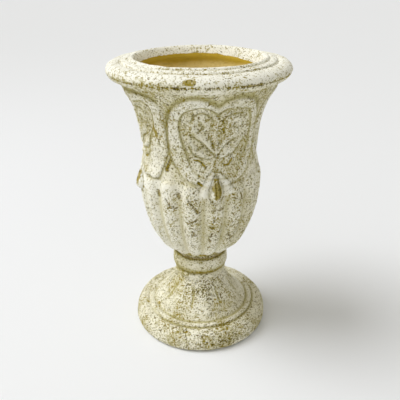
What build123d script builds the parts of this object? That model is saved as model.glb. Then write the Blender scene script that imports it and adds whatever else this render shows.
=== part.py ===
from build123d import *
from math import cos, pi, radians, sin
import os

# Stack of the urn, from the table upwards, in millimetres
pad_proud = 0.8
pedestal_height = 96.4
mortar_thickness = 1.3
bowl_height = 231.5

# Plinth with its rolled edge, and the bead between two grooves
plinth_radius = 83.3
plinth_height = 23.3
plinth_edge_round = 4.6
plinth_crown_width = 12.2
plinth_crown_height = 17.0
bead_outer_radius = 67.3
bead_inner_radius = 59.7
bead_rise = 2.4
groove_depth = 0.9

# Cone of the foot, fillet ring and roll under the bowl
cone_height = 42.0
cone_top_radius = 29.0
cone_sag = 3.0
fillet_ring_radius = 31.2
fillet_ring_height = 8.4
crease_radius = 30.2
roll_radius = 34.6
roll_seat_radius = 31.8

# Hollow underside of the pedestal
hollow_mouth_radius = 66.0
hollow_crown_radius = 20.0
hollow_crown_height = 50.0
hollow_sag = 6.0

# Necking and gadroons of the bowl
necking_radius = 31.2
necking_waist_radius = 30.4
necking_top_radius = 33.5
necking_height = 7.0
gadroon_count = 16
gadroon_height = 93.5
gadroon_radius = 70.3
gadroon_depth = 5.0

# Bell above the gadroons
bell_height = 109.0
bell_waist_radius = 63.2
bell_top_radius = 86.5
bell_foot_drop = 9.0
bell_foot_inset = 7.0

# Rolled rim with a step and a lip
rim_radius = 98.5
rim_roll_height = 17.5
rim_widest_height = 9.4
rim_crown_radius = 83.8
rim_groove_depth = 0.9
rim_groove_width = 1.2
step_radius = 75.2
step_rise = 1.5
lip_crest_radius = 71.2
lip_shoulder_drop = 0.9
lip_edge_radius = 68.6
lip_edge_drop = 1.4

# Inside of the bowl
throat_radius = 61.6
throat_depth = 12.5
liner_collar_height = 6.0
cavity_waist_radius = 53.5
cavity_belly_radius = 55.5
cavity_floor_radius = 24.0
cavity_floor_height = 22.0
cavity_belly_drop = 23.4

# Heart ribbons round a raised field, and the buds that hang between their tails
heart_count = 4
ribbon_rise = 3.2
ribbon_root = 2.0
field_rise = 1.8
bud_length = 30.0
bud_radius = 5.8
bud_axis_radius = 69.6
bud_drop = 8.5

# Tie rod and its fittings
rod_diameter = 8.0
rod_clearance = 0.5
rod_end_stand = 4.0
rod_chamfer = 0.8
washer_diameter = 24.0
washer_thickness = 1.6
seal_diameter = 26.0
seal_thickness = 2.0
nut_across_flats = 13.0
nut_height = 6.5
nut_chamfer = 0.5
thread_clearance = 0.1

# Felt pads under the plinth
pad_count = 4
pad_diameter = 9.0
pad_seat_depth = 0.7
pad_side_clearance = 0.3

cut_overrun = 5.0

# Heights that follow from the stack
underside_z = pad_proud
plinth_top_z = underside_z + plinth_height
cone_top_z = plinth_top_z + cone_height
pedestal_top_z = underside_z + pedestal_height
hollow_crown_z = underside_z + hollow_crown_height
bowl_base_z = pedestal_top_z + mortar_thickness
gadroon_base_z = bowl_base_z + necking_height
gadroon_top_z = gadroon_base_z + gadroon_height
rim_base_z = gadroon_top_z + bell_height
urn_top_z = bowl_base_z + bowl_height
cavity_floor_z = bowl_base_z + cavity_floor_height
throat_z = urn_top_z - throat_depth
collar_foot_z = throat_z - liner_collar_height
bore_radius = rod_diameter / 2 + rod_clearance
pad_ring_radius = (plinth_radius - plinth_edge_round + hollow_mouth_radius) / 2

# Gadroons from below: height share, crest radius share, groove depth share.
# Above a height share of 1 they end as round tongues against the bell.
gadroon_level_shares = [
    (0.0, 0.47, 0.2),
    (0.036, 0.587, 0.5),
    (0.142, 0.714, 0.8),
    (0.283, 0.824, 1.0),
    (0.46, 0.904, 1.0),
    (0.64, 0.963, 1.0),
    (0.81, 0.995, 1.0),
    (1.0, 0.997, 1.0),
    (1.064, 0.987, 1.0),
    (1.096, 0.967, 1.0),
    (1.112, 0.93, 1.0),
]

# Bell's outside from below: flare share, height share
bell_waist_height_share = 0.295
bell_level_shares = [
    (0.11, 0.0),
    (0.057, 0.17),
    (0.0, bell_waist_height_share),
    (0.028, 0.415),
    (0.106, 0.54),
    (0.215, 0.66),
    (0.335, 0.75),
    (0.495, 0.83),
    (0.71, 0.90),
    (1.0, 1.0),
]

# Directions of the rim's roll at the bell, at its widest and at its first groove, and their pull
rim_tangent_shares = ((1, 0.25), (0, 1), (-1, 0.2))
rim_fullness_shares = (0.6, 1.0, 1.2)

# Right half of a heart ribbon, from the notch down: share of half the pitch, height share
heart_outer_shares = [
    (0.0, 0.865),
    (0.12, 0.925),
    (0.30, 0.96),
    (0.58, 0.93),
    (0.84, 0.83),
    (0.97, 0.69),
    (0.975, 0.50),
    (0.90, 0.27),
    (0.72, 0.09),
    (0.45, 0.0),
]
heart_inner_shares = [
    (0.0, 0.79),
    (0.17, 0.855),
    (0.36, 0.875),
    (0.56, 0.82),
    (0.68, 0.72),
    (0.715, 0.60),
    (0.66, 0.40),
    (0.53, 0.25),
    (0.36, 0.14),
    (0.18, 0.09),
]

# Leaves of a heart: share of half the pitch, share of the bell's height, lean and tilt in degrees,
# then length, thickness and rise as shares of the bud's length, the bud's radius and the ribbon's rise
leaf_shares = [
    (0.0, 0.555, 0, 9, 1.3, 0.42, 1.05),
    (0.30, 0.43, 45, 7, 1.15, 0.47, 1.05),
    (0.233, 0.54, 36, 9, 1.1, 0.47, 1.05),
    (0.164, 0.13, -22, -9, 1.0, 0.62, 1.3),
]


def turned(edges):
    return revolve(Plane.XZ * make_face(edges), Axis.Z)


def chain(*points):
    return [Line(a, b) for a, b in zip(points, points[1:])]


def ring(outer_radius, inner_radius, height, base_z):
    profile = Circle(outer_radius) - Circle(inner_radius)
    return extrude(Plane.XY.offset(base_z) * profile, height)


def plinth_outline():
    corner_radius = plinth_radius - plinth_edge_round
    crown_radius = plinth_radius - plinth_crown_width
    crown_start_z = plinth_top_z - plinth_crown_height
    groove_z = plinth_top_z - groove_depth
    edge_round = CenterArc((corner_radius, underside_z + plinth_edge_round), plinth_edge_round, -90, 90)
    side = Line((plinth_radius, underside_z + plinth_edge_round), (plinth_radius, crown_start_z))
    crown = EllipticalCenterArc(
        (crown_radius, crown_start_z), plinth_crown_width, plinth_crown_height, 0, arc_size=90
    )
    return [edge_round, side, crown] + chain((crown_radius, plinth_top_z), (bead_outer_radius, groove_z))


def bead_outline():
    start = (bead_outer_radius, plinth_top_z - groove_depth)
    crest = ((bead_outer_radius + bead_inner_radius) / 2, plinth_top_z + bead_rise)
    end = (bead_inner_radius, plinth_top_z + bead_rise - groove_depth)
    return [ThreePointArc(start, crest, end)]


def cone_outline():
    bead_end = (bead_inner_radius, plinth_top_z + bead_rise - groove_depth)
    start = (bead_inner_radius - groove_depth, bead_end[1] + groove_depth)
    top = (cone_top_radius, cone_top_z)
    middle = ((start[0] + top[0]) / 2, (start[1] + top[1]) / 2 - cone_sag)
    return chain(bead_end, start) + [ThreePointArc(start, middle, top)]


def roll_outline():
    crease_z = cone_top_z + fillet_ring_height
    fillet_middle = (fillet_ring_radius, cone_top_z + fillet_ring_height / 2)
    roll_middle = (roll_radius, (crease_z + pedestal_top_z) / 2)
    fillet = ThreePointArc((cone_top_radius, cone_top_z), fillet_middle, (crease_radius, crease_z))
    roll = ThreePointArc((crease_radius, crease_z), roll_middle, (roll_seat_radius, pedestal_top_z))
    return [fillet, roll]


def pedestal_hollow():
    mouth = (hollow_mouth_radius, underside_z - cut_overrun)
    crown = (hollow_crown_radius, hollow_crown_z)
    middle = ((mouth[0] + crown[0]) / 2 - hollow_sag, (mouth[1] + crown[1]) / 2 - hollow_sag)
    wall = ThreePointArc(mouth, middle, crown)
    return turned([wall] + chain(crown, (0, hollow_crown_z), (0, mouth[1]), mouth))


def pad_seats():
    seat = Cylinder(pad_diameter / 2 + pad_side_clearance, pad_seat_depth * 2)
    return [Pos(0, 0, underside_z) * place * seat for place in PolarLocations(pad_ring_radius, pad_count)]


def pedestal_casting():
    foot_corner = (plinth_radius - plinth_edge_round, underside_z)
    outside = plinth_outline() + bead_outline() + cone_outline() + roll_outline()
    core = chain((roll_seat_radius, pedestal_top_z), (0, pedestal_top_z), (0, underside_z), foot_corner)
    bore = Pos(0, 0, pedestal_top_z / 2) * Cylinder(bore_radius, pedestal_top_z + cut_overrun)
    return turned(outside + core) - pedestal_hollow() - bore - pad_seats()


def gadroon_section(height_share, radius_share, depth_share):
    crest = gadroon_radius * radius_share
    valley = crest - gadroon_depth * depth_share
    half_pitch = pi / gadroon_count
    lobes = []
    for number in range(gadroon_count):
        middle = 2 * half_pitch * number
        left, right = middle - half_pitch, middle + half_pitch
        start = (valley * cos(left), valley * sin(left))
        top = (crest * cos(middle), crest * sin(middle))
        lobes.append(ThreePointArc(start, top, (valley * cos(right), valley * sin(right))))
    return Plane.XY.offset(gadroon_base_z + gadroon_height * height_share) * make_face(lobes)


def gadroons():
    return loft([gadroon_section(*shares) for shares in gadroon_level_shares])


def bell_points(offset):
    flare = bell_top_radius - bell_waist_radius
    return [
        (bell_waist_radius + flare * flare_share + offset, gadroon_top_z + bell_height * height_share)
        for flare_share, height_share in bell_level_shares
    ]


def bell_radius_at(height_share):
    flare = bell_top_radius - bell_waist_radius
    for (low, low_height), (high, high_height) in zip(bell_level_shares, bell_level_shares[1:]):
        if height_share <= high_height:
            break
    share = low + (high - low) * (height_share - low_height) / (high_height - low_height)
    return bell_waist_radius + flare * share


def rim_outline():
    groove_z = rim_base_z + rim_roll_height - rim_groove_depth
    step_z = groove_z + rim_groove_depth + step_rise
    crown = (rim_crown_radius, groove_z + rim_groove_depth)
    widest = (rim_radius, rim_base_z + rim_widest_height)
    under = (bell_top_radius, rim_base_z)
    roll = Spline(under, widest, crown, tangents=rim_tangent_shares, tangent_scalars=rim_fullness_shares)
    first_groove = (rim_crown_radius - rim_groove_width, groove_z)
    step_outer = (first_groove[0] - rim_groove_width, step_z)
    second_groove = (step_radius - rim_groove_width, step_z)
    lip_crest = (lip_crest_radius, urn_top_z)
    lip_edge = (lip_edge_radius, urn_top_z - lip_edge_drop)
    throat = (throat_radius, throat_z)
    lip_shoulder = ((second_groove[0] + lip_crest[0]) / 2, urn_top_z - lip_shoulder_drop)
    lip_outer = ThreePointArc(second_groove, lip_shoulder, lip_crest)
    lip_inner = Spline(lip_crest, lip_edge, throat, tangents=((-1, 0), (-0.1, -1)))
    flats = chain(crown, first_groove, step_outer, (step_radius, step_z + rim_groove_depth), second_groove)
    return [roll] + flats + [lip_outer, lip_inner]


def cavity_wall():
    floor = (cavity_floor_radius, cavity_floor_z)
    belly = (cavity_belly_radius, gadroon_top_z - cavity_belly_drop)
    waist = (cavity_waist_radius, gadroon_top_z + bell_height * bell_waist_height_share)
    collar_foot = (throat_radius, collar_foot_z)
    return floor, Spline(collar_foot, waist, belly, floor, tangents=((-0.1, -1), (-1, -0.6)))


def necking():
    base = (necking_radius, bowl_base_z)
    middle = (necking_waist_radius, bowl_base_z + necking_height / 2)
    top = (necking_top_radius, gadroon_base_z)
    inside = (necking_top_radius, gadroon_base_z + necking_height)
    side = ThreePointArc(base, middle, top)
    return turned([side] + chain(top, inside, (0, inside[1]), (0, bowl_base_z), base))


def bell():
    outside = bell_points(0)
    foot = (outside[0][0] - bell_foot_inset, outside[0][1] - bell_foot_drop)
    edges = chain((0, foot[1]), foot, outside[0]) + [Spline(*outside)] + rim_outline()
    return turned(edges + chain((throat_radius, throat_z), (0, throat_z), (0, foot[1])))


def bowl_cavity():
    floor, inner_wall = cavity_wall()
    above = (throat_radius, throat_z + cut_overrun)
    collar_foot = (throat_radius, collar_foot_z)
    core = chain(floor, (0, cavity_floor_z), (0, above[1]), above, collar_foot)
    return turned([inner_wall] + core)


def heart_curve(shares):
    half_pitch = pi / heart_count
    right = [
        (bell_radius_at(height) * sin(half_pitch * angle), gadroon_top_z + bell_height * height)
        for angle, height in shares
    ]
    left = [(-x, z) for x, z in reversed(right[1:])]
    return left, right


def heart_face(shares):
    left, right = heart_curve(shares)
    return make_face([Spline(*right), Line(right[-1], left[0]), Spline(*left, right[0])])


def round_the_bell(relief):
    return [Rot(0, 0, 360 / heart_count * number) * relief for number in range(heart_count)]


def bell_shell(low_offset, high_offset):
    outer, inner = bell_points(high_offset), bell_points(low_offset)
    ends = chain(outer[0], inner[0]) + chain(outer[-1], inner[-1])
    return turned([Spline(*outer), Spline(*inner)] + ends)


def heart():
    whole = extrude(Plane.XZ * heart_face(heart_outer_shares), rim_radius)
    middle = extrude(Plane.XZ * heart_face(heart_inner_shares), rim_radius)
    raised = whole & bell_shell(-ribbon_root, ribbon_rise)
    return raised - (middle & bell_shell(field_rise, ribbon_rise + ribbon_root))


def spindle(length, radius):
    tip = (0, -length / 2)
    crown = (0, length / 2)
    side = Spline(tip, (radius, -length / 6), crown, tangents=((1, 0.6), (-0.4, 1)))
    return turned([side, Line(crown, tip)])


def leaf(angle_share, height_share, lean, tilt, length_share, thickness_share, rise_share):
    radius = bud_radius * thickness_share
    axis_radius = bell_radius_at(height_share) + ribbon_rise * rise_share - radius
    level = gadroon_top_z + bell_height * height_share
    turn = Rot(0, 0, 180 / heart_count * angle_share)
    return turn * Pos(0, -axis_radius, level) * Rot(0, lean, 0) * Rot(tilt, 0, 0) * spindle(bud_length * length_share, radius)


def leaves():
    right = [leaf(*shares) for shares in leaf_shares]
    left = [leaf(-angle, height, -lean, *rest) for angle, height, lean, *rest in leaf_shares if angle]
    return right + left


def bud():
    return Pos(0, -bud_axis_radius, gadroon_top_z + bud_drop) * spindle(bud_length, bud_radius)


def bowl_casting():
    relief = [placed for form in [heart(), bud()] + leaves() for placed in round_the_bell(form)]
    solid = gadroons() + necking() + bell() + relief
    bore = Pos(0, 0, cavity_floor_z) * Cylinder(bore_radius, 2 * cavity_floor_height + cut_overrun)
    return solid - bowl_cavity() - bore


def neck_mortar():
    return ring(necking_radius, bore_radius, mortar_thickness, pedestal_top_z)


def nut(base_z):
    hexagon = RegularPolygon(nut_across_flats / 2, 6, major_radius=False)
    blank = extrude(hexagon - Circle(rod_diameter / 2 + thread_clearance), nut_height)
    corner_radius = nut_across_flats / 2 / cos(radians(30))
    top = Cylinder(corner_radius, nut_height, align=(Align.CENTER, Align.CENTER, Align.MIN))
    rounded = chamfer(top.edges().filter_by(GeomType.CIRCLE), nut_chamfer)
    return Pos(0, 0, base_z) * (blank & rounded)


def tie_rod(bottom_z, top_z):
    length = top_z - bottom_z
    rod = Cylinder(rod_diameter / 2, length, align=(Align.CENTER, Align.CENTER, Align.MIN))
    return Pos(0, 0, bottom_z) * chamfer(rod.edges().filter_by(GeomType.CIRCLE), rod_chamfer)


def foot_pads():
    pad_height = pad_proud + pad_seat_depth
    pad = Cylinder(pad_diameter / 2, pad_height, align=(Align.CENTER, Align.CENTER, Align.MIN))
    return Compound(children=[place * pad for place in PolarLocations(pad_ring_radius, pad_count)])


def build():
    upper_washer_z = cavity_floor_z + seal_thickness
    upper_nut_z = upper_washer_z + washer_thickness
    lower_washer_z = hollow_crown_z - washer_thickness
    lower_nut_z = lower_washer_z - nut_height
    pieces = {
        "pedestal_casting": pedestal_casting(),
        "bowl_casting": bowl_casting(),
        "neck_mortar": neck_mortar(),
        "tie_rod": tie_rod(lower_nut_z - rod_end_stand, upper_nut_z + nut_height + rod_end_stand),
        "sealing_washer": ring(seal_diameter / 2, bore_radius, seal_thickness, cavity_floor_z),
        "upper_washer": ring(washer_diameter / 2, bore_radius, washer_thickness, upper_washer_z),
        "upper_nut": nut(upper_nut_z),
        "lower_washer": ring(washer_diameter / 2, bore_radius, washer_thickness, lower_washer_z),
        "lower_nut": nut(lower_nut_z),
        "foot_pads": foot_pads(),
    }
    os.makedirs("parts", exist_ok=True)
    for name, piece in pieces.items():
        export_step(piece, f"parts/{name}.step")


build()
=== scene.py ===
import math
import bmesh
import bpy
import numpy as np
from mathutils import Matrix, Vector


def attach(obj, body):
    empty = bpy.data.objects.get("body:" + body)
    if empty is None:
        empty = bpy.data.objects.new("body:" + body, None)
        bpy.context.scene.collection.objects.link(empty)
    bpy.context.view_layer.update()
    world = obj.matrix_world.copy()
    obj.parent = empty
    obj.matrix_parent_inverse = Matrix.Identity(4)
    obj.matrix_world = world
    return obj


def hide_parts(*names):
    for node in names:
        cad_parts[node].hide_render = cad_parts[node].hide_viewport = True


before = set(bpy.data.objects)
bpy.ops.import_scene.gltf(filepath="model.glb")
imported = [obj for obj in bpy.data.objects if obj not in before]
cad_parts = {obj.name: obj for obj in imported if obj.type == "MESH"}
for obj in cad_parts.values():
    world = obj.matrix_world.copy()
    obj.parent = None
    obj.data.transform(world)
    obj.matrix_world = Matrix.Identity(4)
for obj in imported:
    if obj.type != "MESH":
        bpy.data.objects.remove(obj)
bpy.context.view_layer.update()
print("frame loaded with", len(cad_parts), "nodes")

mm = 0.001
farGap = 4.0  # mm; gaps to a line, painted on a mesh, stop here and are kept as a share of it


def linear(hexColour):
    parts = [int(hexColour[start:start + 2], 16) / 255 for start in (1, 3, 5)]
    return [p / 12.92 if p <= 0.04045 else ((p + 0.055) / 1.055) ** 2.4 for p in parts] + [1]


def addNode(tree, kind, settings=None, links=None):
    node = tree.nodes.new(kind)
    for key, value in (settings or {}).items():
        if isinstance(key, str) and hasattr(node, key):
            setattr(node, key, value)
        else:
            node.inputs[key].default_value = value
    for key, source in (links or {}).items():
        tree.links.new(source, node.inputs[key])
    return node


def smoothLine(points, spacing):
    # a smooth line through given points, cut into even steps
    line = np.array(points, float)
    held = np.vstack([2 * line[0] - line[1], line, 2 * line[-1] - line[-2]])
    fine = []
    for a, b, c, d in zip(held, held[1:], held[2:], held[3:]):
        t = np.linspace(0, 1, 13)[:-1, None]
        bend = (2 * a - 5 * b + 4 * c - d) * t ** 2 + (3 * b - a - 3 * c + d) * t ** 3
        fine.append(0.5 * (2 * b + (c - a) * t + bend))
    fine = np.vstack(fine + [line[-1:]])
    run = np.concatenate([[0], np.cumsum(np.linalg.norm(np.diff(fine, axis=0), axis=1))])
    even = np.linspace(0, run[-1], max(1, round(run[-1] / spacing)) + 1)
    return np.column_stack([np.interp(even, run, column) for column in fine.T])


def closedOutline(start, parts):
    # each part, its points and the step between rings, goes on where the last one ended and leaves a corner there;
    # the last part ends at the start again
    rows = []
    for points, spacing in parts:
        rows.append(smoothLine([start] + points, spacing)[:-1])
        start = points[-1]
    return np.vstack(rows)


def meshFrom(bm, name):
    mesh = bpy.data.meshes.new(name)
    bm.to_mesh(mesh)
    bm.free()
    return mesh


def castingOutline(piece):
    return closedOutline(piece["start"], [(piece[part], spacing) for part, spacing in piece["spacings"].items()])


def spunMesh(name, outline, steps):
    bm = bmesh.new()
    verts = [bm.verts.new((r * mm, 0, z * mm)) for r, z in outline]
    edges = [bm.edges.new(pair) for pair in zip(verts, verts[1:] + verts[:1])]
    bmesh.ops.spin(bm, geom=verts + edges, cent=(0, 0, 0), axis=(0, 0, 1),
                   angle=2 * math.pi, steps=steps, use_merge=True)
    bmesh.ops.remove_doubles(bm, verts=bm.verts, dist=1e-6)
    bmesh.ops.recalc_face_normals(bm, faces=bm.faces)
    return meshFrom(bm, name)


def readMesh(mesh):
    count = len(mesh.vertices)
    place, normal = np.empty(count * 3), np.empty(count * 3)
    mesh.vertices.foreach_get("co", place)
    mesh.vertex_normals.foreach_get("vector", normal)
    return place.reshape(-1, 3) / mm, normal.reshape(-1, 3)


def moveMesh(mesh, place):
    mesh.vertices.foreach_set("co", (place * mm).ravel())
    mesh.update()


def paint(mesh, layers):
    for name, values in layers.items():
        layer = mesh.attributes.new(name, "FLOAT", "POINT")
        layer.data.foreach_set("value", np.clip(values, 0, 1).astype(float))


def addObject(name, data):
    added = bpy.data.objects.new(name, data)
    bpy.context.scene.collection.objects.link(added)
    return added


def placePiece(name, mesh, material, node):
    for polygon in mesh.polygons:
        polygon.use_smooth = True
    piece = addObject(name, mesh)
    mesh.materials.append(material)
    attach(piece, "root")
    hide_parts(node)


def ease(value):
    value = np.clip(value, 0, 1)
    return value * value * (3 - 2 * value)


def soft(gap, width):
    # 1 on a line, fading to nothing about two widths away from it
    return np.exp(-(gap / width) ** 2)


def softSpot(x, y, atX, atY, wide, tall):
    return np.exp(-((x - atX) / wide) ** 2 - ((y - atY) / tall) ** 2)


def keepWithin(place, piece):
    # no dent or hump reaches past the piece's outermost sizes
    reach = np.maximum(np.hypot(place[:, 0], place[:, 1]), 1)
    place[:, :2] *= np.minimum(1, piece["widest"] / reach)[:, None]
    place[:, 2] = np.clip(place[:, 2], piece["lowest"], piece["highest"])
    return place


def polar(place):
    # distance from the axis, height, and the angle that is 0 at -Y, in the middle of the front heart
    return np.hypot(place[:, 0], place[:, 1]), place[:, 2], np.degrees(np.arctan2(place[:, 0], -place[:, 1]))


def waves(place, size, seed):
    # slow unevenness of a hand-rubbed cast, about -1 to 1, with humps about size mm across
    dice = np.random.default_rng(seed)
    total = np.zeros(len(place))
    for _ in range(7):
        direction = dice.normal(size=3)
        direction *= 2 * math.pi / size * dice.uniform(0.35, 0.75) / np.linalg.norm(direction)
        total += np.sin(place @ direction + dice.uniform(0, 2 * math.pi))
    return total / 3.2


def rubbed(place, humps):
    return sum(waves(place, size, seed) * rise for size, seed, rise in humps)


def toLine(x, y, line, reach=12.0):
    # how far each point lies from a broken line, and how far along the line that is, 0 to 1
    nearest, along = np.full(len(x), 99.0), np.zeros(len(x))  # 99 stands for far off
    low, high = line.min(axis=0) - reach, line.max(axis=0) + reach
    near = np.nonzero((x > low[0]) & (x < high[0]) & (y > low[1]) & (y < high[1]))[0]
    nearX, nearY, best, share = x[near], y[near], nearest[near], along[near]
    for number, (a, b) in enumerate(zip(line, line[1:])):
        step = b - a
        t = np.clip(((nearX - a[0]) * step[0] + (nearY - a[1]) * step[1]) / max(step @ step, 1e-9), 0, 1)
        gap = np.hypot(nearX - a[0] - t * step[0], nearY - a[1] - t * step[1])
        closer = gap < best
        best[closer] = gap[closer]
        share[closer] = (number + t[closer]) / (len(line) - 1)
    nearest[near], along[near] = best, share
    return nearest, along


def insideLoop(x, y, loop):
    inside = np.zeros(len(x), bool)
    for a, b in zip(loop, np.roll(loop, -1, axis=0)):
        slope = (b[0] - a[0]) / ((b[1] - a[1]) or 1e-9)
        inside ^= ((a[1] > y) != (b[1] > y)) & (x < a[0] + (y - a[1]) * slope)
    return inside


def startFinish(name):
    material = bpy.data.materials.new(name)
    material.use_nodes = True
    place = addNode(material.node_tree, "ShaderNodeTexCoord").outputs["Object"]
    return material, material.node_tree, material.node_tree.nodes["Principled BSDF"], place


def endFinish(tree, shader, colour, height, strength, depth):
    bump = addNode(tree, "ShaderNodeBump", {"Strength": strength, "Distance": depth * mm}, {"Height": height})
    tree.links.new(colour, shader.inputs["Base Color"])
    tree.links.new(bump.outputs["Normal"], shader.inputs["Normal"])


castStoneLook = {
    # the whitest wash stands for painted light; the groove colour stands for painted shade with dirt
    "washedAndLitWhite": "#FAFAF2", "wash": "#F1EEDC", "washDull": "#DED9BE", "thin": "#B9B178", "grooveDirtAndShade": "#888049",
    "olive": "#776A1A", "ochre": "#9D8B1F", "pit": "#4C400F", "flakeDark": "#655812", "flakeWarm": "#918116",
    "bareHigh": "#BDA033", "bareLow": "#F2DE9C",
    "rough": 0.88, "specular": 0.22, "bump": 0.9, "bumpDepth": 0.9,
    # blotches: size in mm, detail, roughness
    "blotches": {"mottle": (3.4, 3.0, 0.6), "speck": (1.35, 1.0, 0.55), "flake": (2.7, 2.0, 0.55),
                 "cluster": (19.0, 3.0, 0.55), "patch": (44.0, 4.0, 0.55)},
    # air pits: size in mm and how much rarer the wide ones are, and how far both are bent out of true
    "pitSize": 3.3, "widePits": 0.42, "wobbleSize": 2.2, "wobbleReach": 1.6,
    # masks: values with their weights, a plain number, and where the sum starts to count and counts in full;
    # or two masks and how they are joined
    "masks": {
        "crowdAndLight": ({"cluster": 0.26, "patch": 0.12, "pittingAndLight": 0.26, "washedAndLit": -0.03}, -0.345),
        "dull": ({"patch": 1.0}, 0.0, 0.40, 0.62),
        "warmth": ({"cluster": 1.0}, 0.0, 0.45, 0.6),
        "depth": ({"speck": 1.0}, 0.0, 0.45, 0.6),
        "hollow": ({"grimeAndShade": 1.0}, 0.0, 0.0, 0.6),
        "deepHollowShade": ({"grimeAndShade": 1.0, "speck": 0.6}, -0.3, 0.5, 1.1),
        "shadeLine": ({"shadeLineGap": -1.0, "flake": 0.5}, -0.25, -0.36, -0.08),
        "thinSpot": ({"mottle": 0.7, "speck": 0.3, "crowdAndLight": 0.8}, 0.0, 0.47, 0.59),
        "speckSpot": ({"speck": 0.85, "mottle": 0.15, "crowdAndLight": 0.6}, 0.0, 0.565, 0.608),
        "flakeSpot": ({"flake": 0.85, "mottle": 0.15, "crowdAndLight": 1.0}, 0.0, 0.592, 0.626),
        "stainSpot": ({"stain": 1.1, "mottle": 0.7, "speck": 0.9}, -1.35, 0.0, 0.24),
        "markLine": ({"markGap": -1.0, "flake": 0.5, "speck": 0.3}, -0.4, -0.40, -0.16),
        "smallPit": ({"smallCell": -1.0, "crowdAndLight": 0.9, "stain": 0.2}, 0.16, 0.0, 0.1),
        "widePit": ({"wideCell": -1.0, "crowdAndLight": 0.55, "stain": 0.12}, 0.07, 0.0, 0.06),
        "pits": (("smallPit", "widePit"), "MAXIMUM"),
        "bareEdge": ({"bareInside": 1.0, "mottle": 0.9}, -0.95, 0.0, 0.12),
        "pitShare": ({"bareEdge": -0.6}, 0.85),
        "pitsSeen": (("pits", "pitShare"), "MULTIPLY"),
        # painted shade inside under the lip, graded by height
        "lipShade": ({"level": 1.0, "patch": 0.016}, -0.008, 0.3065, 0.3150),
        "relief": ({"mottle": 0.5, "flake": 0.5, "thinSpot": -0.12, "speckSpot": -0.3, "flakeSpot": -0.3, "pits": -0.8,
                    "shadeLine": -1.0, "markLine": -0.9}, 0.0),
    },
    # colours laid one over the other: mask, how much of it, colour, and what turns that to which other colour
    # the whitest layer is painted light on faces turned up or to the lamp; the hollow, groove and line layers are
    # painted shade, with dirt, in grooves, cuts and creases
    "washLayers": [
        ("dull", 1.0, "washDull"), ("washedAndLit", 1.0, "washedAndLitWhite"), ("hollow", 0.75, "thin"),
        ("deepHollowShade", 0.7, "grooveDirtAndShade"), ("shadeLine", 0.5, "grooveDirtAndShade"), ("thinSpot", 0.7, "thin"),
        ("speckSpot", 0.9, "olive", "warmth", "ochre"), ("flakeSpot", 0.85, "flakeDark", "warmth", "flakeWarm"),
        ("stainSpot", 0.86, "ochre"), ("markLine", 0.78, "ochre", "depth", "pit"), ("pitsSeen", 1.0, "pit"),
    ],
    "bareLayers": [("lipShade", 1.0, "bareHigh"), ("thinSpot", 0.25, "bareHigh")],
}


def castStone(look):
    # Cast stone, rubbed with whitewash: chalky and matt, worn through to ochre in countless specks, air pits
    # and hollows, so that the eye sees a warm white skin peppered with olive dots and soft yellow stains.
    # Painted shade darkens its grooves, cuts and creases along with their dirt, and painted light whitens its faces
    # turned up or to the lamp.
    material, tree, shader, place = startFinish("whitewashedCastStone")
    shader.inputs["Roughness"].default_value = look["rough"]
    shader.inputs["Specular IOR Level"].default_value = look["specular"]
    values = {"level": addNode(tree, "ShaderNodeSeparateXYZ", None, {"Vector": place}).outputs["Z"]}
    for name in ("grimeAndShade", "stain", "pittingAndLight", "bareInside", "washedAndLit", "shadeLineGap", "markGap"):
        values[name] = addNode(tree, "ShaderNodeAttribute", {"attribute_name": name}).outputs["Fac"]
    for name, (size, detail, rough) in look["blotches"].items():
        settings = {"Scale": 1 / (size * mm), "Detail": detail, "Roughness": rough}
        values[name] = addNode(tree, "ShaderNodeTexNoise", settings, {"Vector": place}).outputs["Fac"]
    wobble = addNode(tree, "ShaderNodeTexNoise", {"Scale": 1 / (look["wobbleSize"] * mm), "Detail": 2.0},
                     {"Vector": place}).outputs["Color"]
    bent = addNode(tree, "ShaderNodeVectorMath", {"operation": "MULTIPLY_ADD", 1: (look["wobbleReach"] * mm,) * 3},
                   {0: wobble, 2: place}).outputs["Vector"]
    for name, rarity in (("smallCell", 1), ("wideCell", look["widePits"])):
        values[name] = addNode(tree, "ShaderNodeTexVoronoi", {"Scale": rarity / (look["pitSize"] * mm)},
                               {"Vector": bent}).outputs["Distance"]

    for name, (terms, total, *edges) in look["masks"].items():
        if isinstance(total, str):
            first, second = [values[term] for term in terms]
            total = addNode(tree, "ShaderNodeMath", {"operation": total}, {0: first, 1: second}).outputs["Value"]
            terms = {}
        for source, weight in terms.items():
            settings, links = {"operation": "MULTIPLY_ADD", 1: weight}, {0: values[source]}
            if isinstance(total, float):
                settings[2] = total
            else:
                links[2] = total
            total = addNode(tree, "ShaderNodeMath", settings, links).outputs["Value"]
        if edges:
            settings = {"interpolation_type": "SMOOTHSTEP", "From Min": edges[0], "From Max": edges[1]}
            total = addNode(tree, "ShaderNodeMapRange", settings, {"Value": total}).outputs["Result"]
        values[name] = total

    def layered(ground, layers):
        settings, below = {"data_type": "RGBA", 6: linear(look[ground])}, {}
        for mask, share, colour, *turning in layers:
            settings[7] = linear(look[colour])
            amount = addNode(tree, "ShaderNodeMath", {"operation": "MULTIPLY", 1: share}, {0: values[mask]})
            links = {0: amount.outputs["Value"], **below}
            if turning:
                ends = {"data_type": "RGBA", 6: settings[7], 7: linear(look[turning[1]])}
                links[7] = addNode(tree, "ShaderNodeMix", ends, {0: values[turning[0]]}).outputs[2]
            below[6] = addNode(tree, "ShaderNodeMix", settings, links).outputs[2]
        return below[6]

    # inside, where nobody rubbed it, the body shows bare and pale yellow; painted shade turns it deep yellow towards
    # the lip
    washedAndLit, bare = layered("wash", look["washLayers"]), layered("bareLow", look["bareLayers"])
    skin = addNode(tree, "ShaderNodeMix", {"data_type": "RGBA"}, {0: values["bareEdge"], 6: washedAndLit, 7: bare})
    endFinish(tree, shader, skin.outputs[2], values["relief"], look["bump"], look["bumpDepth"])
    return material


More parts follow.
